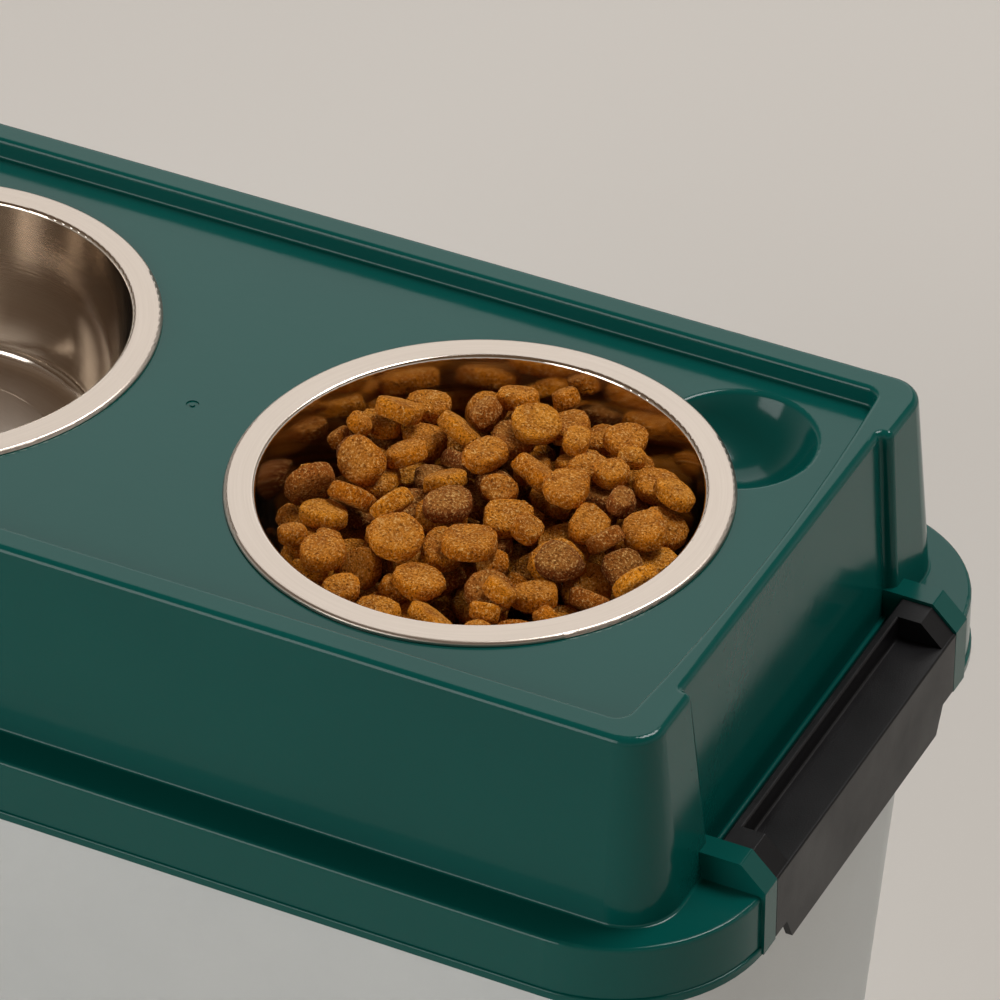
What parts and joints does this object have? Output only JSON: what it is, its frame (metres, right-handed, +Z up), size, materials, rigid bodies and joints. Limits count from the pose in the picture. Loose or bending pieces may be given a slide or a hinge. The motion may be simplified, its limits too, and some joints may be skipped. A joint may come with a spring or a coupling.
{
  "type": "elevated dog feeder with storage",
  "caption": "Raised pet feeder: steel bowls with flat rims sit in a snap-latched moulded lid over a tapered storage tub for dry food.",
  "frame": {"origin": "middle of the tub's footprint, on the floor it stands on", "axes": "+X along the feeder's length towards the right bowl, +Y to the back (the side with the finger scoops), +Z up"},
  "size_m": [0.4872, 0.2556, 0.312],
  "materials": {
    "tub_plastic": "moulded, fine satin",
    "lid_plastic": "moulded, glossy",
    "seal_rubber": "soft, dull",
    "bowl_steel": "satin brushed",
    "latch_plastic": "moulded, satin black"
  },
  "bodies": {
    "tub": {"storage_tub": "tub_plastic"},
    "lid": {"lid": "lid_plastic", "lid_gasket": "seal_rubber"},
    "bowl_left": {"bowl_left": "bowl_steel"},
    "bowl_right": {"bowl_right": "bowl_steel"},
    "latch_left": {"latch_left": "latch_plastic"},
    "latch_right": {"latch_right": "latch_plastic"}
  },
  "joints": [
    {"name": "lid_lift", "type": "slide", "parent": "tub", "child": "lid", "axis": [0, 0, 1], "range_m": [0, 0.038]},
    {"name": "latch_left_hinge", "type": "hinge", "parent": "lid", "child": "latch_left", "pos_m": [-0.22775, 0, 0.2477], "axis": [0, 1, 0], "range_deg": [0, 105]},
    {"name": "latch_right_hinge", "type": "hinge", "parent": "lid", "child": "latch_right", "pos_m": [0.22775, 0, 0.2477], "axis": [0, -1, 0], "range_deg": [0, 105]},
    {"name": "bowl_left_lift", "type": "slide", "parent": "lid", "child": "bowl_left", "axis": [0, 0, 1], "range_m": [0, 0.07]},
    {"name": "bowl_right_lift", "type": "slide", "parent": "lid", "child": "bowl_right", "axis": [0, 0, 1], "range_m": [0, 0.07]}
  ],
  "couplings": [
    {"joint": "latch_left_hinge", "follows": "lid_lift", "rad_per_m": 48.2},
    {"joint": "latch_right_hinge", "follows": "lid_lift", "rad_per_m": 48.2}
  ]
}
